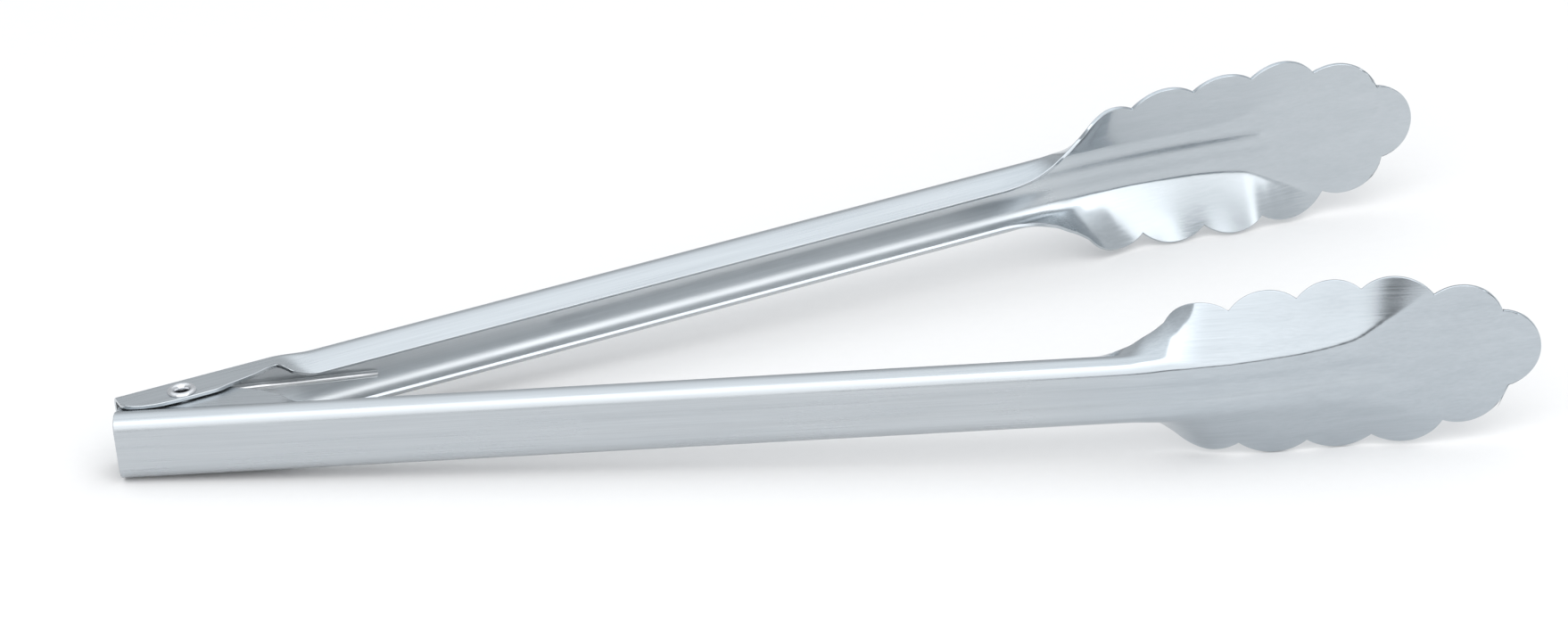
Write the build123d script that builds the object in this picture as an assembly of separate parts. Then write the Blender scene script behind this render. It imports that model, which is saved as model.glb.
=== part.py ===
from build123d import *
import os
from math import asin, cos, degrees, hypot, radians, sin, tan

# Spring loaded kitchen tongs: two pressed sheet-steel channel arms with scalloped, dished heads, a tubular
# rivet that joins them, and a torsion spring round the rivet that pushes them apart.
#
# Millimetres. Origin on the rivet's axis, midway between the ears. +Z runs along the rivet, +X points
# between the two heads, and the tongs are open, as they rest. Each arm is first drawn along +X, with its
# web's outer face at Y = 0 and its channel opening towards +Y, the rivet's axis crossing X = 0.

# Sheet and channel
SHEET = 0.9               # steel thickness
WEB_HALF = 7.6            # half width across the outside of the channel
CORNER_R = 3.5            # outer radius between web and flange
FLANGE_DEPTH = 8.7        # from the web's outer face to a flange's free edge
FLANGE_LEAN = 35.0        # how far each flange leans inwards, degrees
REAR_END = -13.6          # rear end of both arms
CHANNEL_END = 194.0       # where the flanges start to open out

# Rib pressed along the web, raised inwards
RIB_START = 85.0
RIB_END = 259.0
RIB_RAMP = 3.0
RIB_EDGE = 3.0            # half width at the web
RIB_FLOOR = 1.2           # half width at the floor
RIB_DEPTH = 0.4

# Head: its centre line bends inwards, and its rim has round lobes between cusps
BEND_START = 204.0
BEND_LENGTH = 36.0
BEND_SLOPE = 0.2          # inward slope of the head past the bend
TIP = 290.7
LOBES_START = 212.0
NECK_HALF = 12.9          # half width where the lobes start
FIRST_CREST = (219.0, 17.4)
CUSPS = [(225.8, 15.7), (240.2, 16.8), (253.8, 17.2), (269.0, 14.9), (283.1, 8.9)]   # along, half width
LOBE_RISES = [2.9, 2.7, 3.4, 3.7]   # how far each lobe bulges past the line between its cusps

# Hinge
OUTER_OFFSET = 6.5        # rivet's axis to the outer arm's web face
INNER_OFFSET = 11.9       # rivet's axis to the inner arm's web face
OUTER_EAR_HALF = 7.9      # half distance between the outer ears' outer faces
OUTER_EAR_CORNER = 2.0    # outer radius between those ears and the web
OUTER_EAR_DEPTH = 10.6
OUTER_EAR_EDGE = [(REAR_END, 5.4), (-12.4, 7.0), (-9.3, 8.7), (-5.7, 9.6),      # along the arm, depth
                  (0.0, 9.9), (6.5, 9.8), (11.0, 8.6), (15.6, 7.6), (21.6, 5.7)]
OUTER_STEP = (24.4, 8.9)  # top of the slanted edge where the full flange begins
JOGGLE_END = 31.0         # the channel has its full shape from here
INNER_EAR_FACE = 6.7      # half distance between the inner ears' outer faces
INNER_EAR_FOOT = 5.9      # depth at which the ears grow out of the flanges
INNER_EAR_EDGE = [(-13.2, 8.6), (-9.0, 11.6), (-4.0, 14.5), (1.0, 15.8),        # along the arm, depth
                  (7.0, 15.6), (12.1, 14.4), (16.4, 13.0), (21.0, 10.7)]
INNER_EAR_TOE = [(24.0, 8.3), (27.5, INNER_EAR_FOOT)]
EAR_OVERLAP = 0.3         # ears and flanges overlap this far about the foot
INNER_FLANGE_START = 24.0 # the inner arm's flanges have their full depth from here
REST_HALF_ANGLE = 13.1    # each arm from the middle plane, degrees
RIVET_R = 2.5             # shank, clinched in the outer ears
RIVET_BORE_R = 1.5
RIVET_HEAD_R = 3.2
RIVET_HEAD_H = 0.7
RIVET_HEAD_FILLET = 0.42
PIVOT_GAP = 0.05          # radial running clearance in the inner ears

# Torsion spring
WIRE_R = 0.8
COIL_R = 3.85             # to the wire's centre
COIL_PITCH = 1.65
WHOLE_TURNS = 5
LEG_LENGTH = 45.0
LEG_BEND_AT = 3.0         # a leg leaves the coil straight and bends here towards its tip
LEG_BEND_R = 10.0
LEG_CLEAR = 0.15          # from the wire to the web under it
LEG_TIP_Z = 2.5           # each leg crosses its channel to this height

# Shapes that cut or trim the sheets reach well past them
BEYOND = 5.0
TALL = 45.0
WIDE = 30.0
TOP = 20.0


def head_rise(u):
    """How far the head's centre line stands inwards of the web's plane."""
    bent = min(max(u - BEND_START, 0.0), BEND_LENGTH)
    beyond = max(u - BEND_START - BEND_LENGTH, 0.0)
    return BEND_SLOPE * (bent * bent / (2 * BEND_LENGTH) + beyond)


def rib_depth(u):
    """Depth of the rib, which ramps up and down at its ends."""
    return RIB_DEPTH * max(0.0, min(1.0, (u - RIB_START) / RIB_RAMP, (RIB_END - u) / RIB_RAMP))


def outer_skin(u, centre, radius, panel, flange, straight):
    """Half of a section's outer line as (across, inwards) points, from the rib's floor to the free edge.

    The web leaves the rib at the slope panel and turns, round the given centre and radius, into a flange
    of slope flange with the given straight part. Slopes are in degrees from the web's plane.
    """
    base = head_rise(u)
    start, end = radians(panel), radians(flange)
    centre_y = base + (centre - RIB_EDGE) * tan(start) + radius / cos(start)
    points = [(RIB_FLOOR, base + rib_depth(u)), (RIB_EDGE, base)]
    steps = 5
    for i in range(steps + 1):
        turn = start + (end - start) * i / steps
        points.append((centre + radius * sin(turn), centre_y - radius * cos(turn)))
    across, inwards = points[-1]
    points.append((across + straight * cos(end), inwards + straight * sin(end)))
    return points


def inner_skin(points):
    """The same line moved inwards by the sheet's thickness, with mitred corners."""
    normals = [(0.0, 1.0)]
    for (z0, y0), (z1, y1) in zip(points, points[1:]):
        run = hypot(z1 - z0, y1 - y0)
        normals.append(((y0 - y1) / run, (z1 - z0) / run))
    normals.append(normals[-1])
    moved = []
    for (z, y), (az, ay), (bz, by) in zip(points, normals, normals[1:]):
        mitre = SHEET / (1 + az * bz + ay * by)
        moved.append((z + (az + bz) * mitre, y + (ay + by) * mitre))
    return moved


def section(u, *shape):
    """The sheet's closed cross-section at distance u along the arm."""
    outside = outer_skin(u, *shape)
    inside = inner_skin(outside)
    half = outside + inside[::-1]
    ring = half + [(-z, y) for z, y in half[::-1]]
    return make_face(Polyline([(u, y, z) for z, y in ring], close=True))


def channel(u, half=WEB_HALF, radius=CORNER_R, lean=FLANGE_LEAN, depth=FLANGE_DEPTH):
    """A section of the plain channel, whose flanges lean inwards by lean degrees and reach depth."""
    tilt = radians(lean)
    straight = (depth - radius * (1 + sin(tilt))) / cos(tilt)
    return section(u, half - radius, radius, 0, 90 + lean, straight)


def lobed_outline():
    """Plan of the arm, along and across: a wide strip up to the neck, then the lobed rim and the tip."""
    rim = [ThreePointArc((LOBES_START, NECK_HALF), FIRST_CREST, CUSPS[0])]
    for (x0, z0), (x1, z1), rise in zip(CUSPS, CUSPS[1:], LOBE_RISES):
        run = hypot(x1 - x0, z1 - z0)
        crest_x = (x0 + x1) / 2 + rise * (z0 - z1) / run
        crest_z = (z0 + z1) / 2 + rise * (x1 - x0) / run
        rim.append(ThreePointArc((x0, z0), (crest_x, crest_z), (x1, z1)))
    tip = ThreePointArc(CUSPS[-1], (TIP, 0), (CUSPS[-1][0], -CUSPS[-1][1]))
    behind = REAR_END - BEYOND
    strip = Polyline((LOBES_START, -NECK_HALF), (LOBES_START, -WIDE), (behind, -WIDE),
                     (behind, WIDE), (LOBES_START, WIDE), (LOBES_START, NECK_HALF))
    return make_face([*rim, tip, *[mirror(edge, Plane.XZ) for edge in rim], strip])


def pressed_sheet(rear):
    """One arm's sheet: the rear sections given, then the channel, neck and head that both arms share."""
    shared = [channel(u) for u in (RIB_START, RIB_START + RIB_RAMP, CHANNEL_END)]
    opening = [
        # along, corner's centre, its radius, slope of the panel, slope of the flange, straight part
        (199.0, 4.1, 3.5, 0.0, 112.0, 4.5),
        (204.0, 4.1, 3.6, 1.0, 92.0, 5.0),
        (208.0, 4.1, 4.2, 2.0, 70.0, 6.0),
        (212.0, 4.2, 4.4, 2.0, 50.0, 8.4),
        (216.0, 4.3, 4.0, 2.0, 36.0, 14.0),
        (220.0, 4.5, 3.5, 2.0, 29.0, 15.0),
        (226.0, 4.6, 3.0, 2.0, 24.5, 15.0),
        (240.0, 4.9, 3.0, 2.0, 20.5, 15.0),
        (251.0, 5.4, 3.0, 2.0, 19.5, 15.0),
        (RIB_END - RIB_RAMP, 6.7, 3.3, 2.0, 18.8, 14.0),
        (RIB_END, 7.9, 3.6, 2.0, 18.3, 14.0),
        (264.0, 10.5, 4.0, 2.0, 17.0, 14.0),
        (269.0, 13.6, 4.5, 2.5, 14.0, 12.0),
        (274.0, 13.5, 6.0, 3.0, 10.0, 12.0),
        (283.0, 11.0, 7.0, 4.5, 7.0, 12.0),
        (TIP + 2.0, 11.0, 7.0, 4.5, 7.0, 12.0),
    ]
    sheet = loft(rear + shared + [section(*row) for row in opening], ruled=True)
    return sheet & extrude(Plane.XZ.offset(BEYOND) * lobed_outline(), amount=-TALL)


def ear_hole(offset, radius):
    """The drill for a pair of rivet holes."""
    return Pos(0, offset, 0) * Cylinder(radius, WIDE)


def outer_arm():
    """The arm whose ears lie outside: its flanges run on past the rivet as two flat ears."""
    ear_shape = (OUTER_EAR_HALF, OUTER_EAR_CORNER, 0, OUTER_EAR_DEPTH)
    ears = [channel(u, *ear_shape) for u in (REAR_END, OUTER_EAR_EDGE[-1][0])]
    sheet = pressed_sheet(ears + [channel(JOGGLE_END)])
    behind = REAR_END - BEYOND
    around = Polyline(OUTER_EAR_EDGE[-1], OUTER_STEP, (JOGGLE_END, FLANGE_DEPTH), (JOGGLE_END, TOP),
                      (behind, TOP), (behind, OUTER_EAR_EDGE[0][1]), OUTER_EAR_EDGE[0])
    sheet -= extrude(make_face([Spline(OUTER_EAR_EDGE), around]), amount=WIDE, both=True)
    sheet -= ear_hole(OUTER_OFFSET, RIVET_R)
    placed = mirror(Pos(0, -OUTER_OFFSET, 0) * sheet, Plane.XZ)
    return Rot(0, 0, REST_HALF_ANGLE) * placed


def inner_arm():
    """The arm whose ears lie inside: two flat ears stand up out of its flanges round the rivet."""
    sheet = pressed_sheet([channel(REAR_END)])
    behind = REAR_END - BEYOND
    trim = INNER_EAR_FOOT + EAR_OVERLAP
    waste = Polyline((INNER_FLANGE_START, trim), (INNER_FLANGE_START, TOP), (behind, TOP), (behind, trim),
                     close=True)
    sheet -= extrude(make_face(waste), amount=WIDE, both=True)
    foot = INNER_EAR_FOOT - EAR_OVERLAP
    around = Polyline(INNER_EAR_EDGE[-1], *INNER_EAR_TOE, (INNER_EAR_TOE[-1][0], foot),
                      (INNER_EAR_EDGE[0][0], foot), INNER_EAR_EDGE[0])
    ear = extrude(make_face([Spline(INNER_EAR_EDGE), around]), amount=SHEET)
    for face in (INNER_EAR_FACE - SHEET, -INNER_EAR_FACE):
        sheet += Pos(0, 0, face) * ear
    sheet -= ear_hole(INNER_OFFSET, RIVET_R + PIVOT_GAP)
    return Rot(0, 0, -REST_HALF_ANGLE) * (Pos(0, -INNER_OFFSET, 0) * sheet)


def pivot_rivet():
    """A tubular rivet, its two rims rolled over the outer ears."""
    body = Cylinder(RIVET_R, 2 * OUTER_EAR_HALF)
    for side in (1, -1):
        body += Pos(0, 0, side * (OUTER_EAR_HALF + RIVET_HEAD_H / 2)) * Cylinder(RIVET_HEAD_R, RIVET_HEAD_H)
    body -= Cylinder(RIVET_BORE_R, WIDE)
    ends = body.faces().filter_by(Axis.Z).sort_by(Axis.Z)
    return fillet([*ends[0].edges(), *ends[-1].edges()], RIVET_HEAD_FILLET)


def torsion_spring():
    """Left-handed coil round the rivet, with a leg along each arm's web."""
    seats = {1: OUTER_OFFSET - SHEET - WIRE_R - LEG_CLEAR, -1: INNER_OFFSET - SHEET - WIRE_R - LEG_CLEAR}
    heading = {s: s * (REST_HALF_ANGLE + degrees(asin((seats[s] - COIL_R) / LEG_LENGTH))) for s in seats}
    near, far = heading[-1] - 90, heading[1] + 90
    turns = WHOLE_TURNS + ((near - far) % 360) / 360
    height = turns * COIL_PITCH
    wire = Rot(0, 0, near) * Pos(0, 0, -height / 2) * Helix(COIL_PITCH, height, COIL_R, lefthand=True)
    spring = sweep(Plane(wire @ 0, z_dir=wire % 0) * Circle(WIRE_R), path=wire)
    for side, root, leaving in ((-1, wire @ 0, wire % 0 * -1), (1, wire @ 1, wire % 1)):
        reach = Vector(LEG_LENGTH, 0, 0).rotate(Axis.Z, heading[side])
        tip = Vector(root.X + reach.X, root.Y + reach.Y, side * -LEG_TIP_Z)
        leg = FilletPolyline(root, root + leaving * LEG_BEND_AT, tip, radius=LEG_BEND_R)
        spring += sweep(Plane(root, z_dir=leaving) * Circle(WIRE_R), path=leg)
    return spring


parts = {
    "outer_arm": outer_arm(),
    "inner_arm": inner_arm(),
    "pivot_rivet": pivot_rivet(),
    "torsion_spring": torsion_spring(),
}
os.makedirs("parts", exist_ok=True)
for name, shape in parts.items():
    export_step(shape, f"parts/{name}.step")
    print(name, len(shape.solids()), round(shape.volume, 1))
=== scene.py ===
from bisect import bisect_right
from math import asin, cos, hypot, pi, radians, sin, sqrt, tan

import bmesh
import bpy
from mathutils import Matrix, Quaternion, Vector


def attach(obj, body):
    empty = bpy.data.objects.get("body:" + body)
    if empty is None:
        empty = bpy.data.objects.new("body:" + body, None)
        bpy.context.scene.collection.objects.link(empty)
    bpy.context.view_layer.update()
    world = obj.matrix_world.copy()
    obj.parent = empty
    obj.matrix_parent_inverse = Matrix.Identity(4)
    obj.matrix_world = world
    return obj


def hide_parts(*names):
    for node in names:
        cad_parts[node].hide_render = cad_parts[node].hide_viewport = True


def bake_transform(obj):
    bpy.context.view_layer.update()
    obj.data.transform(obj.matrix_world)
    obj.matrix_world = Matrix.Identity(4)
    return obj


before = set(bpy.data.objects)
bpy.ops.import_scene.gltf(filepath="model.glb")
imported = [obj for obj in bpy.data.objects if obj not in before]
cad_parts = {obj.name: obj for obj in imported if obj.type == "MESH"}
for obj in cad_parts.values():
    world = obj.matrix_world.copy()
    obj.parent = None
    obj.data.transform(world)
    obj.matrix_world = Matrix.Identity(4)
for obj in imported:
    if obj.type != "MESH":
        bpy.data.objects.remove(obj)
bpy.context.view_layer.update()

# Spring loaded kitchen tongs, opened, lying on a pale floor. The two arms are built as pressed
# sheets with smooth necks and heads, the rivet is lathed, and the spring is a wire coil with a leg
# on each arm.
#
# Lengths in the shape functions are millimetres along an arm (u), inwards from its web's outer
# face (v) and across (z), and slopes are degrees; MM turns the lengths into the frame's metres.
# side is 1 for the outer arm and -1 for the inner one.

MM = 0.001
HALF_ANGLE = radians(13.1)          # each arm from the middle plane, at rest
OUTER_OFFSET = 6.5                  # rivet's axis to each arm's web face
INNER_OFFSET = 11.9
SHEET = 0.9                         # thickness of the steel
REAR_END = -13.6                    # where the arms end behind the rivet
OUTER_HOLE, INNER_HOLE = 2.5, 2.55  # radii of the rivet holes
HOLE_STEPS, DRILL_LENGTH = 64, 40.0
EDGE_ROUND, EDGE_STEPS, EDGE_ANGLE = 0.2, 2, 50.0       # edges sharper than the angle are rounded

RIB_START, RIB_END, RIB_RAMP = 85.0, 259.0, 3.0
RIB_DEPTH = 0.35
RIB_OUTSIDE = (0.7, 2.5)            # half width of the rib's flat, and width of its slope
RIB_INSIDE = (0.4, 3.1)

# The head bends inwards, up to a slope given as rise over run. Its lobed rim is given by points
# (along, across) from the neck to the tip.
BEND_START, BEND_LENGTH, BEND_SLOPE = 204.0, 36.0, 0.2
LOBES_START, NECK_HALF = 212.0, 12.9
FIRST_CREST = (219.0, 17.4)
CUSPS = [(225.8, 15.7), (240.2, 16.8), (253.8, 17.2), (269.0, 14.9), (283.1, 8.9)]
LOBE_RISE = (2.9, 2.7, 3.4, 3.7)    # how far each lobe bulges past the line between its cusps
TIP = 290.7
FLUTE = 0.15                        # how far each lobe swells outwards between its cusps
FLUTE_FROM = 0.35                   # share of the half width where the swelling begins
FLUTE_RAMP = 8.0                    # length over which it begins along the arm

# Section shapes: along, corner's centre across, corner's radius, panel slope, flange slope,
# straight part after the corner. Before the first row the section is the channel.
WEB_FLAT = 2.5                      # half width of the flat middle of every section
FLANGE_DEPTH = 8.7
CHANNEL = (4.1, 3.5, 0.0, 125.0, 3.9)
SHAPES = [
    (192.0, *CHANNEL),
    (199.0, 4.1, 3.5, 0.0, 112.0, 4.5),
    (204.0, 4.1, 3.6, 1.0, 92.0, 5.0),
    (208.0, 4.0, 4.2, 3.0, 70.0, 6.0),
    (212.0, 4.2, 4.4, 2.0, 50.0, 8.4),
    (216.0, 4.3, 4.0, 2.0, 36.0, 14.0),
    (220.0, 4.5, 3.5, 2.0, 29.0, 15.0),
    (226.0, 4.6, 3.0, 2.0, 24.5, 15.0),
    (240.0, 4.9, 3.0, 2.0, 20.5, 15.0),
    (251.0, 5.4, 6.0, 2.0, 19.5, 15.0),
    (256.0, 6.7, 10.0, 2.0, 17.5, 14.0),
    (259.0, 7.9, 12.0, 2.0, 16.0, 14.0),
    (264.0, 10.5, 12.0, 2.0, 13.5, 14.0),
    (269.0, 13.6, 8.0, 2.5, 11.5, 12.0),
    (274.0, 13.5, 6.0, 3.0, 10.0, 12.0),
    (283.0, 11.0, 7.0, 4.5, 7.0, 12.0),
]
HEAD_REACH = 30.0                   # straight part in the head, longer than any half width

# Ears round the rivet. The edges are rows of (along, depth).
OUTER_EAR = (5.9, 2.0, 0.0, 90.0)   # a section shape without its straight part
OUTER_EDGE = [(REAR_END, 5.4), (-12.4, 7.0), (-9.3, 8.7), (-5.7, 9.6), (0.0, 9.9), (6.5, 9.8),
              (11.0, 8.6), (15.6, 7.6), (21.6, 5.7), (24.4, 8.9), (27.0, FLANGE_DEPTH)]
JOGGLE = (21.6, 31.0)               # the outer ears step in to the channel here
INNER_EDGE = [(REAR_END, 8.0), (-13.0, 8.8), (-9.0, 11.6), (-4.0, 14.5), (1.0, 15.8), (7.0, 15.6),
              (12.1, 14.4), (16.4, 13.0), (21.0, 10.7), (24.0, 9.0), (27.5, FLANGE_DEPTH)]
INNER_FOOT = 5.9                    # depth at which the inner ears bend upright
INNER_TOE = (21.0, 27.5)            # the upright part leans back into the flange here
UPRIGHT = 90.0

# How finely the sheets are divided: spacing along the arm (from, to, spacing), and the columns
# across half a section.
SPACING = [(REAR_END, 21.0, 0.7), (21.0, 32.0, 0.4), (32.0, 84.0, 4.0), (84.0, 89.0, 0.5),
           (89.0, 189.0, 5.0), (189.0, LOBES_START, 0.8)]
LOBE_SPACING = 0.7
TIP_ROWS = 14
RIB_COLUMNS = [0.0, 0.5, 0.9, 1.2, 1.5, 1.8, 2.1, 2.4, 2.7, 3.0, 3.3, 3.6]
MIDDLE_COLUMNS, EDGE_COLUMNS = 25, 13
MIDDLE_SHARE = 0.72                 # share of the length between rib and edge for the middle ones
EDGE_LEAST = 0.5                    # shortest length left for the edge ones
CORNER_STEPS = 28
MERGE = 0.08                        # points closer than this become one

RIVET_SHANK, RIVET_BORE, RIVET_RIM = 2.45, 1.5, 3.2     # radii
RIVET_FACE, RIVET_TOP = 7.9, 8.6    # height of the outer ears' faces, and of the rolled rim
ROUND_STEPS = 72

WIRE_R, COIL_R, PITCH, WHOLE_TURNS = 0.8, 3.85, 1.65, 5
WIRE_SIDES, WIRE_STEPS_PER_TURN = 20, 56
WIRE_DOME = ((0.32, 1.0), (0.12, 0.93), (0.03, 0.8), (0.0, 0.62))   # (distance back, size) in radii
LEG_LENGTH, LEG_BEND_AT, LEG_BEND_R, LEG_TIP_Z = 45.0, 3.0, 10.0, 2.5
LEG_GAP = 0.15                      # between a leg and its web

# Grain of the arms' steel: noise cells per metre along an arm and across it, and the shares of the
# fine and the broad one.
FINE_GRAIN, BROAD_GRAIN, CLOUDS = (30, 2600, 2600), (12, 420, 420), (26, 60, 60)
FINE_SHARE, BROAD_SHARE = 0.6, 0.4
SCRATCH_RANGE = (0.35, 0.65)        # noise values that become the darkest and lightest grain
CLOUD_ROUGH = (-0.03, 0.06)         # added to the roughness
HEAD_FROM, HEAD_TO = 0.18, 0.215    # metres along an arm, over which the head's smoother finish and its painted shade set in

# Each side's steel: its darkest and lightest grain, their roughness, how much rougher it is up to
# the neck, and the painted shade over the head, which on the outer skin is slightly bluish. The
# inner skin is the same steel in lighter colours: painted light for the channel's shaded inside,
# which the head's painted shade takes back down in the dish.
OUTSIDE = dict(dark=(0.47, 0.50, 0.525), light=(0.545, 0.575, 0.60), roughness=(0.11, 0.18),
               rear_rough=0.13, head_painted_shade=(0.95, 0.975, 0.995))
INSIDE_PAINTED_LIGHT = dict(dark=(0.68, 0.71, 0.73), light=(0.76, 0.785, 0.805), roughness=(0.11, 0.18),
              rear_rough=0.3, head_painted_shade=(0.715, 0.74, 0.76))
RIVET_STEEL = dict(scale=(1500, 1500, 200), dark=(0.60, 0.61, 0.63), light=(0.72, 0.73, 0.75),
                   roughness=(0.12, 0.24))
# The spring's colours are lighter than bare steel: painted light on the wire, which lies in shade
# between the ears and in the channel.
SPRING_STEEL_PAINTED_LIGHT = dict(scale=(300, 300, 900), dark=(0.84, 0.845, 0.85), light=(0.90, 0.905, 0.91),
                    roughness=(0.28, 0.36))
PAPER = ((0.81, 0.80, 0.795), (0.83, 0.82, 0.815))

FLOOR_HALF = 6.0                    # metres
FLOOR_DROP = 8.75                   # below the rivet's middle
FLOOR_SLOPE = radians(2.66)

# The surround's brightness by direction: levels at the start and end of a range, and the range.
# The front and the horizon dim the rest; the right replaces them where it is brighter.
WORLD_COLOUR = (0.945, 0.975, 1.0, 1)
WORLD_OVERHEAD = (0.66, 1.35, 0.45, 0.9)    # along Z
WORLD_HORIZON = (0.65, 1.0, 0.06, 0.14)     # along Z
WORLD_FRONT = (0.45, 1.0, -0.85, -0.45)     # along Y
WORLD_RIGHT = (0.0, 1.15, 0.22, 0.38)       # along X

KEY_AT, KEY_TOWARDS = (0.05, -1.3, 1.05), (0.12, 0, 0)
KEY_WIDTH, KEY_HEIGHT, KEY_POWER = 2.8, 2.1, 24.0

CAMERA_AT = (-0.00874, -1.31305, 0.64587)
CAMERA_AZIMUTH, CAMERA_ELEVATION, CAMERA_ROLL = radians(6.08), radians(26.0), radians(-6.34)
CAMERA_LENS, CAMERA_SENSOR = 155.2, 36.0


def ease(x):
    """Smooth step from 0 to 1."""
    x = min(max(x, 0.0), 1.0)
    return x * x * (3 - 2 * x)


def smooth_table(rows, u):
    """Row of a table at u, by cubics that never overshoot the rows."""
    i = min(max(bisect_right([r[0] for r in rows], u) - 1, 0), len(rows) - 2)
    x0, x1 = rows[i][0], rows[i + 1][0]
    span = x1 - x0
    t = min(max((u - x0) / span, 0.0), 1.0)
    found = []
    for k in range(1, len(rows[0])):
        def slope(a, b):
            return (rows[b][k] - rows[a][k]) / (rows[b][0] - rows[a][0])

        def tangent(j):
            if j == 0 or j == len(rows) - 1:
                return 0.0
            left, right = slope(j - 1, j), slope(j, j + 1)
            return 0.0 if left * right <= 0 else 2 * left * right / (left + right)

        a, b = rows[i][k], rows[i + 1][k]
        ta, tb = tangent(i) * span, tangent(i + 1) * span
        found.append((2 * t ** 3 - 3 * t ** 2 + 1) * a + (t ** 3 - 2 * t ** 2 + t) * ta
                     + (3 * t ** 2 - 2 * t ** 3) * b + (t ** 3 - t ** 2) * tb)
    return found


def head_rise(u):
    """How far the head's centre line stands inwards of the web's plane."""
    bent = min(max(u - BEND_START, 0.0), BEND_LENGTH)
    return BEND_SLOPE * (bent * bent / (2 * BEND_LENGTH) + max(u - BEND_START - BEND_LENGTH, 0.0))


def rib_depth(u):
    """Depth of the rib, which eases up and down at its ends."""
    return RIB_DEPTH * ease(min((u - RIB_START) / RIB_RAMP, (RIB_END - u) / RIB_RAMP))


def circle_through(a, b, c):
    """Centre and radius of the circle through three (along, across) points."""
    (ax, ay), (bx, by), (cx, cy) = a, b, c
    d = 2 * (ax * (by - cy) + bx * (cy - ay) + cx * (ay - by))
    a2, b2, c2 = ax * ax + ay * ay, bx * bx + by * by, cx * cx + cy * cy
    x = (a2 * (by - cy) + b2 * (cy - ay) + c2 * (ay - by)) / d
    y = (a2 * (cx - bx) + b2 * (ax - cx) + c2 * (bx - ax)) / d
    return x, y, hypot(ax - x, ay - y)


def lobe_arcs():
    """(start, end, circle) of each lobe's rim."""
    neck_rim = circle_through((LOBES_START, NECK_HALF), FIRST_CREST, CUSPS[0])
    arcs = [(LOBES_START, CUSPS[0][0], neck_rim)]
    for (x0, z0), (x1, z1), rise in zip(CUSPS, CUSPS[1:], LOBE_RISE):
        run = hypot(x1 - x0, z1 - z0)
        crest = ((x0 + x1) / 2 + rise * (z0 - z1) / run, (z0 + z1) / 2 + rise * (x1 - x0) / run)
        arcs.append((x0, x1, circle_through((x0, z0), crest, (x1, z1))))
    return arcs


LOBES = lobe_arcs()
TIP_CENTRE, _, TIP_R = circle_through(CUSPS[-1], (TIP, 0.0), (CUSPS[-1][0], -CUSPS[-1][1]))


def rim_half(u):
    """Half width of the lobed rim at u."""
    for x0, x1, (cx, cz, r) in LOBES:
        if u <= x1:
            return cz + sqrt(max(r * r - (u - cx) ** 2, 0.0))
    return CUSPS[-1][1]


def lobe_swell(u, z):
    """How far a lobe stands out of the dish at (u, z): nothing at the cusps and near the middle."""
    if u < LOBES_START:
        return 0.0
    phase = 0.5
    for x0, x1, _ in LOBES:
        if x0 <= u <= x1:
            phase = (u - x0) / (x1 - x0)
    if u > CUSPS[-1][0]:
        phase = 0.0
    wave = 0.5 - 0.5 * cos(2 * pi * phase)
    outwards = ease((abs(z) / rim_half(u) - FLUTE_FROM) / (1 - FLUTE_FROM))
    return FLUTE * wave * outwards * ease((u - LOBES_START) / FLUTE_RAMP)


def corner_line(u, centre, radius, panel, flange):
    """Half of the web, beyond the rib, and its corner: (across, inwards) points."""
    start, end = radians(panel), radians(flange)
    base = head_rise(u)
    centre_v = base + (centre - WEB_FLAT) * tan(start) + radius / cos(start)
    line = [(0.0, base), (WEB_FLAT, base)]
    for i in range(CORNER_STEPS + 1):
        turn = start + (end - start) * i / CORNER_STEPS
        line.append((centre + radius * sin(turn), centre_v - radius * cos(turn)))
    return line


def go_on(line, slope, length=None, depth=None):
    """Adds a straight part to the line, as long as given or down to a depth."""
    z, v = line[-1]
    turn = radians(slope)
    if length is None:
        length = (depth - v) / sin(turn)
    line.append((z + length * cos(turn), v + length * sin(turn)))


def half_line(side, u):
    """Half of the sheet's outer line at u, without its rib, and the depth of its bend, if any."""
    if side > 0 and u < JOGGLE[1]:
        mix = ease((u - JOGGLE[0]) / (JOGGLE[1] - JOGGLE[0]))
        shape = [a + (b - a) * mix for a, b in zip(OUTER_EAR, CHANNEL)]
        line = corner_line(u, *shape)
        go_on(line, shape[3], depth=smooth_table(OUTER_EDGE, u)[0])
        return line, None
    if side < 0 and u < INNER_TOE[1]:
        line = corner_line(u, *CHANNEL[:4])
        go_on(line, CHANNEL[3], depth=INNER_FOOT)
        mix = ease((u - INNER_TOE[0]) / (INNER_TOE[1] - INNER_TOE[0]))
        lean = UPRIGHT + (CHANNEL[3] - UPRIGHT) * mix
        go_on(line, lean, depth=smooth_table(INNER_EDGE, u)[0])
        return line, INNER_FOOT
    if u < SHAPES[0][0]:
        line = corner_line(u, *CHANNEL[:4])
        go_on(line, CHANNEL[3], depth=INNER_FOOT)
        go_on(line, CHANNEL[3], depth=FLANGE_DEPTH)
        return line, INNER_FOOT if side < 0 else None
    shape = smooth_table(SHAPES, u)
    line = corner_line(u, *shape[:4])
    if u <= LOBES_START:
        go_on(line, shape[3], length=shape[4])
        return line, None
    go_on(line, shape[3], length=HEAD_REACH)
    half = rim_half(u)
    kept = [p for p in line if p[0] < half]
    (z0, v0), (z1, v1) = kept[-1], line[len(kept)]
    t = (half - z0) / (z1 - z0)
    return kept + [(half, v0 + (v1 - v0) * t)], None


def height_at(line, z):
    """Inward height of a line at a distance across."""
    for (z0, v0), (z1, v1) in zip(line, line[1:]):
        if z <= z1:
            return v0 + (v1 - v0) * (z - z0) / (z1 - z0)
    return line[-1][1]


def lengths_along(line):
    """The length from a line's start to each of its points."""
    lengths = [0.0]
    for (z0, v0), (z1, v1) in zip(line, line[1:]):
        lengths.append(lengths[-1] + hypot(z1 - z0, v1 - v0))
    return lengths


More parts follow.
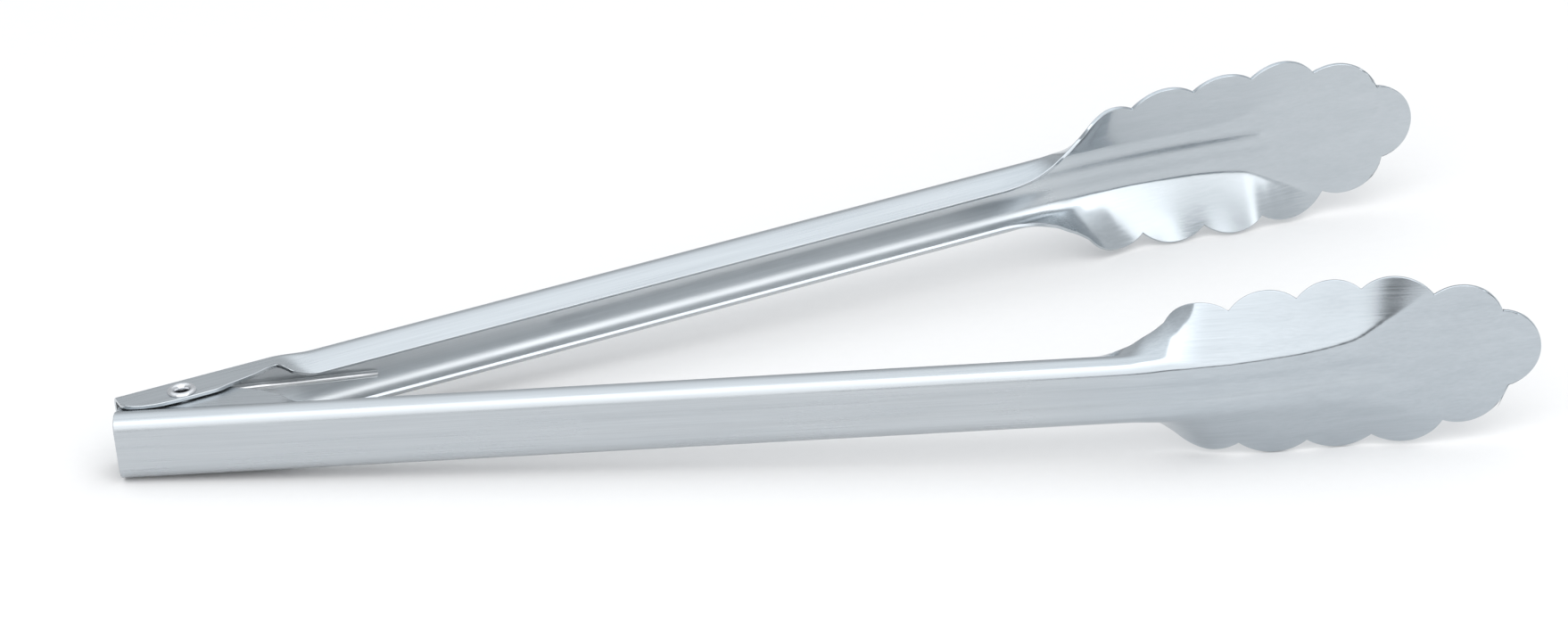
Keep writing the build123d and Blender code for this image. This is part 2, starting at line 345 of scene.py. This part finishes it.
def spread(line, start, end, count):
    """Points evenly along a line between two lengths."""
    lengths = lengths_along(line)
    found = []
    for k in range(count):
        at = start + (end - start) * k / (count - 1)
        i = min(max(bisect_right(lengths, at) - 1, 0), len(line) - 2)
        t = (at - lengths[i]) / (lengths[i + 1] - lengths[i])
        (z0, v0), (z1, v1) = line[i], line[i + 1]
        found.append((z0 + (z1 - z0) * t, v0 + (v1 - v0) * t))
    return found


def half_columns(side, u):
    """The section's half line at its fixed number of columns."""
    line, bend = half_line(side, u)
    near = [(z, height_at(line, z)) for z in RIB_COLUMNS]
    lengths = lengths_along(line)
    total = lengths[-1]
    begin = RIB_COLUMNS[-1]
    if bend is None:
        middle = begin + (total - begin) * MIDDLE_SHARE
    else:
        at_bend = next(at for at, (z, v) in zip(lengths, line) if v >= bend - 1e-6)
        middle = min(at_bend, total - EDGE_LEAST)
    first = spread(line, begin, middle, MIDDLE_COLUMNS)
    second = spread(line, middle, total, EDGE_COLUMNS)
    return near + first[1:] + second[1:]


def rib_at(u, z, profile):
    """How far the rib pushes a skin inwards at (u, z)."""
    flat, slope = profile
    return rib_depth(u) * (1 - ease((z - flat) / slope))


def two_skins(u, columns):
    """Outer and inner (u, v, z) points of half a section, rib and lobes included."""
    count = len(columns)
    outside, inside = [], []
    for j, (z, v) in enumerate(columns):
        if j == 0:
            nz, nv = 0.0, 1.0
        else:
            (za, va), (zb, vb) = columns[j - 1], columns[min(j + 1, count - 1)]
            run = hypot(zb - za, vb - va)
            nz, nv = (va - vb) / run, (zb - za) / run
        swell = lobe_swell(u, z)
        outside.append((u, v - swell + rib_at(u, z, RIB_OUTSIDE), z))
        zi, vi = z + SHEET * nz, v + SHEET * nv
        inside.append((u, vi - swell + rib_at(u, zi, RIB_INSIDE), zi))
    return outside, inside


def stations():
    """Places along the arm where sections stand, closer together where its shape changes."""
    edges = [LOBES_START] + [x for x, _ in CUSPS]
    lobes = [(start, end, LOBE_SPACING) for start, end in zip(edges, edges[1:])]
    found = []
    for start, end, step in SPACING + lobes:
        count = max(1, round((end - start) / step))
        found.extend(start + (end - start) * k / count for k in range(count))
    found.append(CUSPS[-1][0])
    return found


def tip_rows(side):
    """Rows that fan out from the last cusps' line to the round tip."""
    start, half = CUSPS[-1]
    columns = half_columns(side, start)
    widest = asin(min(1.0, half / TIP_R))
    rows = []
    for s in range(1, TIP_ROWS + 1):
        mix = s / TIP_ROWS
        row_out, row_in = [], []
        for z, _ in columns:
            turn = widest * min(z / half, 1.0)
            u = start + (TIP_CENTRE + TIP_R * cos(turn) - start) * mix
            across = z + (TIP_R * sin(turn) - z) * mix
            line, _ = half_line(side, min(u, TIP))
            reach, v = line[-1]
            if across <= reach:
                v = height_at(line, min(across, half))
            row_out.append((u, v, across))
            row_in.append((u, v + SHEET, across))
        rows.append((row_out, row_in))
    return rows


def place(side, u, v, z):
    """A point of an arm in the frame, in metres."""
    n = (OUTER_OFFSET - v) if side > 0 else (v - INNER_OFFSET)
    c, s = cos(HALF_ANGLE), side * sin(HALF_ANGLE)
    return Vector(((u * c - n * s) * MM, (u * s + n * c) * MM, z * MM))


def both_halves(points):
    """A half row mirrored: from the lower free edge to the upper one."""
    return [(u, v, -z) for u, v, z in points[:0:-1]] + list(points)


def new_piece(name, bm):
    """A smooth shaded mesh object from a bmesh."""
    mesh = bpy.data.meshes.new(name)
    bm.to_mesh(mesh)
    bm.free()
    for face in mesh.polygons:
        face.use_smooth = True
    piece = bpy.data.objects.new(name, mesh)
    bpy.context.scene.collection.objects.link(piece)
    return piece


def bake_modifiers(piece):
    """Leaves the piece's mesh as its modifiers make it."""
    graph = bpy.context.evaluated_depsgraph_get()
    mesh = bpy.data.meshes.new_from_object(piece.evaluated_get(graph))
    piece.modifiers.clear()
    piece.data = mesh


def drill(piece, radius):
    """Cuts the pair of rivet holes through a piece."""
    bm = bmesh.new()
    bmesh.ops.create_cone(bm, cap_ends=True, segments=HOLE_STEPS, radius1=radius * MM,
                          radius2=radius * MM, depth=DRILL_LENGTH * MM)
    cutter = new_piece("drill", bm)
    cut = piece.modifiers.new("holes", "BOOLEAN")
    cut.operation = "DIFFERENCE"
    cut.solver = "EXACT"
    cut.object = cutter
    bpy.context.view_layer.update()
    bake_modifiers(piece)
    bpy.data.objects.remove(cutter)


def soften_edges(piece):
    """Rounds a piece's sharp edges."""
    bevel = piece.modifiers.new("soft edges", "BEVEL")
    bevel.width = EDGE_ROUND * MM
    bevel.segments = EDGE_STEPS
    bevel.limit_method = "ANGLE"
    bevel.angle_limit = radians(EDGE_ANGLE)
    bevel.use_clamp_overlap = False
    bevel.harden_normals = True
    bake_modifiers(piece)


def arm_sheet(name, side, hole, materials):
    """One arm as a closed sheet: outer skin, inner skin and the edges between them.

    The first material is for the outer skin and the edges, the second for the inner skin, whose
    lighter colours are painted light.
    """
    rows = [two_skins(u, half_columns(side, u)) for u in stations()] + tip_rows(side)
    bm = bmesh.new()
    skins = []
    for halves in rows:
        skins.append([[bm.verts.new(place(side, *point)) for point in both_halves(half)]
                      for half in halves])
    width = len(skins[0][0])
    for (out0, in0), (out1, in1) in zip(skins, skins[1:]):
        for j in range(width - 1):
            bm.faces.new((out0[j], out0[j + 1], out1[j + 1], out1[j]))
            bm.faces.new((in0[j], in1[j], in1[j + 1], in0[j + 1])).material_index = 1
        bm.faces.new((out0[0], out1[0], in1[0], in0[0]))
        bm.faces.new((out0[-1], in0[-1], in1[-1], out1[-1]))
    for out, ins in (skins[0], skins[-1]):
        for j in range(width - 1):
            bm.faces.new((out[j], out[j + 1], ins[j + 1], ins[j]))
    bmesh.ops.remove_doubles(bm, verts=bm.verts, dist=MERGE * MM)
    bmesh.ops.recalc_face_normals(bm, faces=bm.faces)
    piece = new_piece(name, bm)
    for material in materials:
        piece.data.materials.append(material)
    drill(piece, hole)
    soften_edges(piece)
    return piece


def lathe(name, profile):
    """A closed profile of (radius, height) points turned about Z."""
    bm = bmesh.new()
    rings = []
    for k in range(ROUND_STEPS):
        a = 2 * pi * k / ROUND_STEPS
        rings.append([bm.verts.new((r * cos(a) * MM, r * sin(a) * MM, h * MM))
                      for r, h in profile])
    for ring, following in zip(rings, rings[1:] + rings[:1]):
        for j in range(len(profile)):
            k = (j + 1) % len(profile)
            bm.faces.new((ring[j], following[j], following[k], ring[k]))
    bmesh.ops.recalc_face_normals(bm, faces=bm.faces)
    return new_piece(name, bm)


def tube_rivet():
    """A tubular rivet: an open bore, and both rims rolled over the outer ears."""
    shank, bore, rim, face = RIVET_SHANK, RIVET_BORE, RIVET_RIM, RIVET_FACE
    upper = [(bore, face - 1.5), (bore, face - 0.9), (1.54, face - 0.4), (1.66, face + 0.05),
             (1.84, face + 0.38), (2.06, face + 0.58), (2.32, RIVET_TOP), (2.55, face + 0.68),
             (2.77, face + 0.6), (2.95, face + 0.48), (3.09, face + 0.34),
             (rim - 0.03, face + 0.2), (rim, face + 0.08), (rim - 0.03, face + 0.01),
             (rim - 0.15, face), (shank + 0.1, face), (shank, face - 0.1), (shank, face - 1.5)]
    profile = upper + [(r, -h) for r, h in upper[::-1]]
    return lathe("tube_rivet", profile)


# The spring's legs lie along the webs, and the coil has as many turns as brings its ends to them.
SEATS = {1: OUTER_OFFSET - SHEET - WIRE_R - LEG_GAP, -1: INNER_OFFSET - SHEET - WIRE_R - LEG_GAP}
HEADING = {s: s * (HALF_ANGLE + asin((SEATS[s] - COIL_R) / LEG_LENGTH)) for s in SEATS}
NEAR_ROOT, FAR_ROOT = HEADING[-1] - pi / 2, HEADING[1] + pi / 2
TURNS = WHOLE_TURNS + ((NEAR_ROOT - FAR_ROOT) % (2 * pi)) / (2 * pi)
COIL_HALF = TURNS * PITCH / 2


def coil_point(t):
    """The coil's centre line from its lower end (t = 0) to its upper end (t = 1)."""
    a = NEAR_ROOT - 2 * pi * TURNS * t
    return Vector((COIL_R * cos(a), COIL_R * sin(a), -COIL_HALF + 2 * COIL_HALF * t))


def wire(name, path, first=None, round_end=False):
    """A wire along a path of points. first is its direction at the start, if not the path's own."""
    count = len(path)
    along = []
    for i in range(count):
        d = path[min(i + 1, count - 1)] - path[max(i - 1, 0)]
        along.append(d.normalized())
    if first is not None:
        along[0] = first.normalized()
    across = along[0].orthogonal().normalized()
    rings = []
    bm = bmesh.new()

    def ring(point, direction, size):
        other = direction.cross(across)
        found = []
        for k in range(WIRE_SIDES):
            a = 2 * pi * k / WIRE_SIDES
            found.append(bm.verts.new((point + (across * cos(a) + other * sin(a)) * size) * MM))
        rings.append(found)

    for i in range(count):
        across = (across - along[i] * across.dot(along[i])).normalized()
        if i == count - 1 and round_end:
            for back, size in WIRE_DOME:
                ring(path[i] - along[i] * back * WIRE_R, along[i], WIRE_R * size)
        else:
            ring(path[i], along[i], WIRE_R)
    for a, b in zip(rings, rings[1:]):
        for k in range(WIRE_SIDES):
            m = (k + 1) % WIRE_SIDES
            bm.faces.new((a[k], a[m], b[m], b[k]))
    bm.faces.new(rings[0][::-1])
    bm.faces.new(rings[-1])
    bmesh.ops.recalc_face_normals(bm, faces=bm.faces)
    return new_piece(name, bm)


def between(start, end, count):
    """Points evenly from start to end, both included."""
    return [start + (end - start) * k / count for k in range(count + 1)]


def leg_path(side):
    """A spring leg's centre line, and the direction in which it leaves the coil.

    It goes off along the coil's tangent, through one easy bend, and then straight to its tip.
    """
    end_of_coil = 0.0 if side < 0 else 1.0
    root = coil_point(end_of_coil)
    leaving = root - coil_point(abs(end_of_coil - 1e-4))
    leaving.normalize()
    tip = root + LEG_LENGTH * Vector((cos(HEADING[side]), sin(HEADING[side]), 0))
    tip.z = -side * LEG_TIP_Z
    corner = root + leaving * LEG_BEND_AT
    onward = (tip - corner).normalized()
    turn = leaving.angle(onward)
    back = LEG_BEND_R * tan(turn / 2)
    start, end = corner - leaving * back, corner + onward * back
    centre = start + ((onward - leaving * leaving.dot(onward)).normalized()) * LEG_BEND_R
    axis = leaving.cross(onward).normalized()
    path = between(root, start, 4)
    bend_steps = 8
    for k in range(1, bend_steps + 1):
        path.append(centre + Quaternion(axis, turn * k / bend_steps) @ (start - centre))
    path += between(end, tip, 10)[1:]
    return path, leaving


def spring():
    """The torsion spring in three pieces: its coil and a leg on each arm."""
    steps = round(TURNS * WIRE_STEPS_PER_TURN)
    coil = wire("spring_coil", [coil_point(k / steps) for k in range(steps + 1)])
    legs = {}
    for side, name in ((-1, "spring_leg_inner"), (1, "spring_leg_outer")):
        path, leaving = leg_path(side)
        legs[side] = wire(name, path, first=leaving, round_end=True)
    return coil, legs


# Materials

def new_material(name):
    """A new material: (material, its tree, its Principled shader)."""
    material = bpy.data.materials.new(name)
    material.use_nodes = True
    tree = material.node_tree
    return material, tree, tree.nodes["Principled BSDF"]


def add(tree, kind, **values):
    """A node with its properties and input values set."""
    node = tree.nodes.new(kind)
    for key, value in values.items():
        if hasattr(node, key):
            setattr(node, key, value)
        else:
            node.inputs[key.replace("_", " ")].default_value = value
    return node


def ramp(tree, source, low, high, from_low=0.3, from_high=0.7):
    """A number mapped from one range to another; the usual range is that of noise."""
    node = add(tree, "ShaderNodeMapRange")
    node.inputs["From Min"].default_value = from_low
    node.inputs["From Max"].default_value = from_high
    node.inputs["To Min"].default_value = low
    node.inputs["To Max"].default_value = high
    tree.links.new(source, node.inputs["Value"])
    return node.outputs["Result"]


def turned(tree, turn):
    """The object's own coordinates, turned about Z."""
    where = add(tree, "ShaderNodeTexCoord")
    mapping = add(tree, "ShaderNodeMapping", vector_type="POINT")
    mapping.inputs["Rotation"].default_value = (0, 0, -turn)
    tree.links.new(where.outputs["Object"], mapping.inputs["Vector"])
    return mapping.outputs["Vector"]


def grain(tree, turn, scale, detail=4.0, roughness=0.6):
    """Noise stretched by scale along axes turned about Z."""
    stretch = add(tree, "ShaderNodeVectorMath", operation="MULTIPLY")
    stretch.inputs[1].default_value = scale
    noise = add(tree, "ShaderNodeTexNoise", Scale=1.0, Detail=detail, Roughness=roughness)
    tree.links.new(turned(tree, turn), stretch.inputs[0])
    tree.links.new(stretch.outputs["Vector"], noise.inputs["Vector"])
    return noise.outputs["Fac"]


def tinted(tree, factor, dark, light):
    """A colour between two, by a number."""
    mix = add(tree, "ShaderNodeMix", data_type="RGBA")
    mix.inputs["A"].default_value = (*dark, 1)
    mix.inputs["B"].default_value = (*light, 1)
    tree.links.new(factor, mix.inputs["Factor"])
    return mix.outputs["Result"]


def arm_steel(name, turn, dark, light, roughness, rear_rough, head_painted_shade):
    """Brushed stainless steel, its fine scratches along the arm, with a few soft cloudy patches.

    It is rougher by rear_rough up to the neck, and in the head its colour is multiplied by
    head_painted_shade, which paints shade over the head.
    """
    material, tree, shader = new_material(name)
    shader.inputs["Metallic"].default_value = 1.0
    fine = grain(tree, turn, FINE_GRAIN, detail=5.0, roughness=0.65)
    broad = grain(tree, turn, BROAD_GRAIN, detail=3.0)
    cloud = grain(tree, turn, CLOUDS, detail=2.0)
    both = add(tree, "ShaderNodeMath", operation="MULTIPLY_ADD")
    both.inputs[1].default_value = FINE_SHARE
    tree.links.new(fine, both.inputs[0])
    share = add(tree, "ShaderNodeMath", operation="MULTIPLY")
    share.inputs[1].default_value = BROAD_SHARE
    tree.links.new(broad, share.inputs[0])
    tree.links.new(share.outputs[0], both.inputs[2])
    brushed = both.outputs[0]
    colour = tinted(tree, ramp(tree, brushed, 0.0, 1.0, *SCRATCH_RANGE), dark, light)
    along = add(tree, "ShaderNodeSeparateXYZ")
    tree.links.new(turned(tree, turn), along.inputs[0])
    shaded = add(tree, "ShaderNodeVectorMath", operation="MULTIPLY")
    tree.links.new(colour, shaded.inputs[0])
    in_head = ramp(tree, along.outputs["X"], 0.0, 1.0, HEAD_FROM, HEAD_TO)
    # Painted shade: the colour is darkened over the head.
    tree.links.new(tinted(tree, in_head, (1.0, 1.0, 1.0), head_painted_shade), shaded.inputs[1])
    tree.links.new(shaded.outputs["Vector"], shader.inputs["Base Color"])
    rough = add(tree, "ShaderNodeMath", operation="ADD")
    tree.links.new(ramp(tree, brushed, *roughness, *SCRATCH_RANGE), rough.inputs[0])
    patches = add(tree, "ShaderNodeMath", operation="ADD")
    tree.links.new(ramp(tree, cloud, *CLOUD_ROUGH), patches.inputs[0])
    behind_head = ramp(tree, along.outputs["X"], rear_rough, 0.0, HEAD_FROM, HEAD_TO)
    tree.links.new(behind_head, patches.inputs[1])
    tree.links.new(patches.outputs[0], rough.inputs[1])
    tree.links.new(rough.outputs[0], shader.inputs["Roughness"])
    bump = add(tree, "ShaderNodeBump", Strength=0.16, Distance=0.00004)
    tree.links.new(brushed, bump.inputs["Height"])
    tree.links.new(bump.outputs["Normal"], shader.inputs["Normal"])
    return material


def bright_steel(name, scale, dark, light, roughness):
    """Polished steel with fine draw or turning marks."""
    material, tree, shader = new_material(name)
    shader.inputs["Metallic"].default_value = 1.0
    marks = grain(tree, 0.0, scale, detail=3.0)
    colour = tinted(tree, ramp(tree, marks, 0.0, 1.0), dark, light)
    tree.links.new(colour, shader.inputs["Base Color"])
    tree.links.new(ramp(tree, marks, *roughness), shader.inputs["Roughness"])
    bump = add(tree, "ShaderNodeBump", Strength=0.1, Distance=0.00003)
    tree.links.new(marks, bump.inputs["Height"])
    tree.links.new(bump.outputs["Normal"], shader.inputs["Normal"])
    return material


def floor_paper(name):
    """Plain pale paper with a barely visible tooth."""
    material, tree, shader = new_material(name)
    shader.inputs["Roughness"].default_value = 0.9
    shader.inputs["Specular IOR Level"].default_value = 0.1
    tooth = grain(tree, 0.0, (400, 400, 400), detail=2.0)
    tree.links.new(tinted(tree, tooth, *PAPER), shader.inputs["Base Color"])
    return material


# Stage, light and camera

def lay_floor():
    """A wide plain floor under the tongs, which rest on their heads and the rivet's lower end.

    The heads are wider than the hinge is tall, so in the frame the floor falls slightly towards
    the heads.
    """
    bm = bmesh.new()
    bmesh.ops.create_grid(bm, x_segments=1, y_segments=1, size=FLOOR_HALF)
    floor = new_piece("floor", bm)
    floor.location.z = -FLOOR_DROP * MM
    floor.rotation_euler.y = FLOOR_SLOPE
    floor.data.materials.append(floor_paper("floor_paper"))


def light_world():
    """A surround that is brightest overhead and dim in front, where the softbox hangs.

    It is dimmer still at the horizon and below, except on the right, which is bright all the way
    down.
    """
    world = bpy.data.worlds.new("studio")
    bpy.context.scene.world = world
    world.use_nodes = True
    tree = world.node_tree
    tree.nodes.clear()
    where = add(tree, "ShaderNodeTexCoord")
    parts = add(tree, "ShaderNodeSeparateXYZ")
    tree.links.new(where.outputs["Generated"], parts.inputs[0])
    overhead = ramp(tree, parts.outputs["Z"], *WORLD_OVERHEAD)
    horizon = ramp(tree, parts.outputs["Z"], *WORLD_HORIZON)
    front = ramp(tree, parts.outputs["Y"], *WORLD_FRONT)
    right = ramp(tree, parts.outputs["X"], *WORLD_RIGHT)
    dimmed = add(tree, "ShaderNodeMath", operation="MULTIPLY")
    tree.links.new(horizon, dimmed.inputs[0])
    tree.links.new(front, dimmed.inputs[1])
    sides = add(tree, "ShaderNodeMath", operation="MAXIMUM")
    tree.links.new(dimmed.outputs[0], sides.inputs[0])
    tree.links.new(right, sides.inputs[1])
    strength = add(tree, "ShaderNodeMath", operation="MULTIPLY")
    tree.links.new(overhead, strength.inputs[0])
    tree.links.new(sides.outputs[0], strength.inputs[1])
    background = add(tree, "ShaderNodeBackground")
    background.inputs["Color"].default_value = WORLD_COLOUR
    tree.links.new(strength.outputs[0], background.inputs["Strength"])
    output = add(tree, "ShaderNodeOutputWorld")
    tree.links.new(background.outputs[0], output.inputs["Surface"])


def hang_softbox():
    """A large rectangular area light, in front and above."""
    data = bpy.data.lights.new("key", "AREA")
    data.shape = "RECTANGLE"
    data.size = KEY_WIDTH
    data.size_y = KEY_HEIGHT
    data.energy = KEY_POWER
    lamp = bpy.data.objects.new("key", data)
    lamp.location = KEY_AT
    aim = Vector(KEY_TOWARDS) - Vector(KEY_AT)
    lamp.rotation_euler = aim.to_track_quat("-Z", "Y").to_euler()
    bpy.context.scene.collection.objects.link(lamp)


def set_camera():
    """A long lens from in front and above, slightly tilted."""
    azimuth, elevation, roll = CAMERA_AZIMUTH, CAMERA_ELEVATION, CAMERA_ROLL
    ahead = Vector((sin(azimuth) * cos(elevation), cos(azimuth) * cos(elevation),
                    -sin(elevation)))
    level = Vector((cos(azimuth), -sin(azimuth), 0))
    upright = level.cross(ahead)
    right = level * cos(roll) + upright * sin(roll)
    up = upright * cos(roll) - level * sin(roll)
    data = bpy.data.cameras.new("camera")
    data.sensor_width = CAMERA_SENSOR
    data.lens = CAMERA_LENS
    data.clip_start, data.clip_end = 0.05, 50.0
    camera = bpy.data.objects.new("camera", data)
    turn = Matrix((right, up, -ahead)).transposed().to_4x4()
    camera.matrix_world = Matrix.Translation(CAMERA_AT) @ turn
    bpy.context.scene.collection.objects.link(camera)
    bpy.context.scene.camera = camera


def build():
    """Every piece, on its body and in its finish."""
    for side, node, hole in ((1, "outer_arm", OUTER_HOLE), (-1, "inner_arm", INNER_HOLE)):
        # The inner skin's material is the same steel painted lighter: painted light inside the
        # shaded channel.
        steel = [arm_steel(node + "_steel", side * HALF_ANGLE, **OUTSIDE),
                 arm_steel(node + "_inside_painted_light", side * HALF_ANGLE, **INSIDE_PAINTED_LIGHT)]
        sheet = arm_sheet(node + "_sheet", side, hole, steel)
        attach(sheet, node)
        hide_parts(node)
    rivet = tube_rivet()
    rivet.data.materials.append(bright_steel("rivet_steel", **RIVET_STEEL))
    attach(rivet, "outer_arm")
    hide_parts("pivot_rivet")
    coil, legs = spring()
    spring_steel_painted_light = bright_steel("spring_wire", **SPRING_STEEL_PAINTED_LIGHT)
    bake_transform(coil)
    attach(legs[-1], "inner_arm")
    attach(legs[1], "outer_arm")
    for piece in (coil, legs[-1], legs[1]):
        piece.data.materials.append(spring_steel_painted_light)
        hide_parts("torsion_spring")


build()
lay_floor()
light_world()
hang_softbox()
set_camera()
bpy.context.scene.view_settings.view_transform = "Standard"
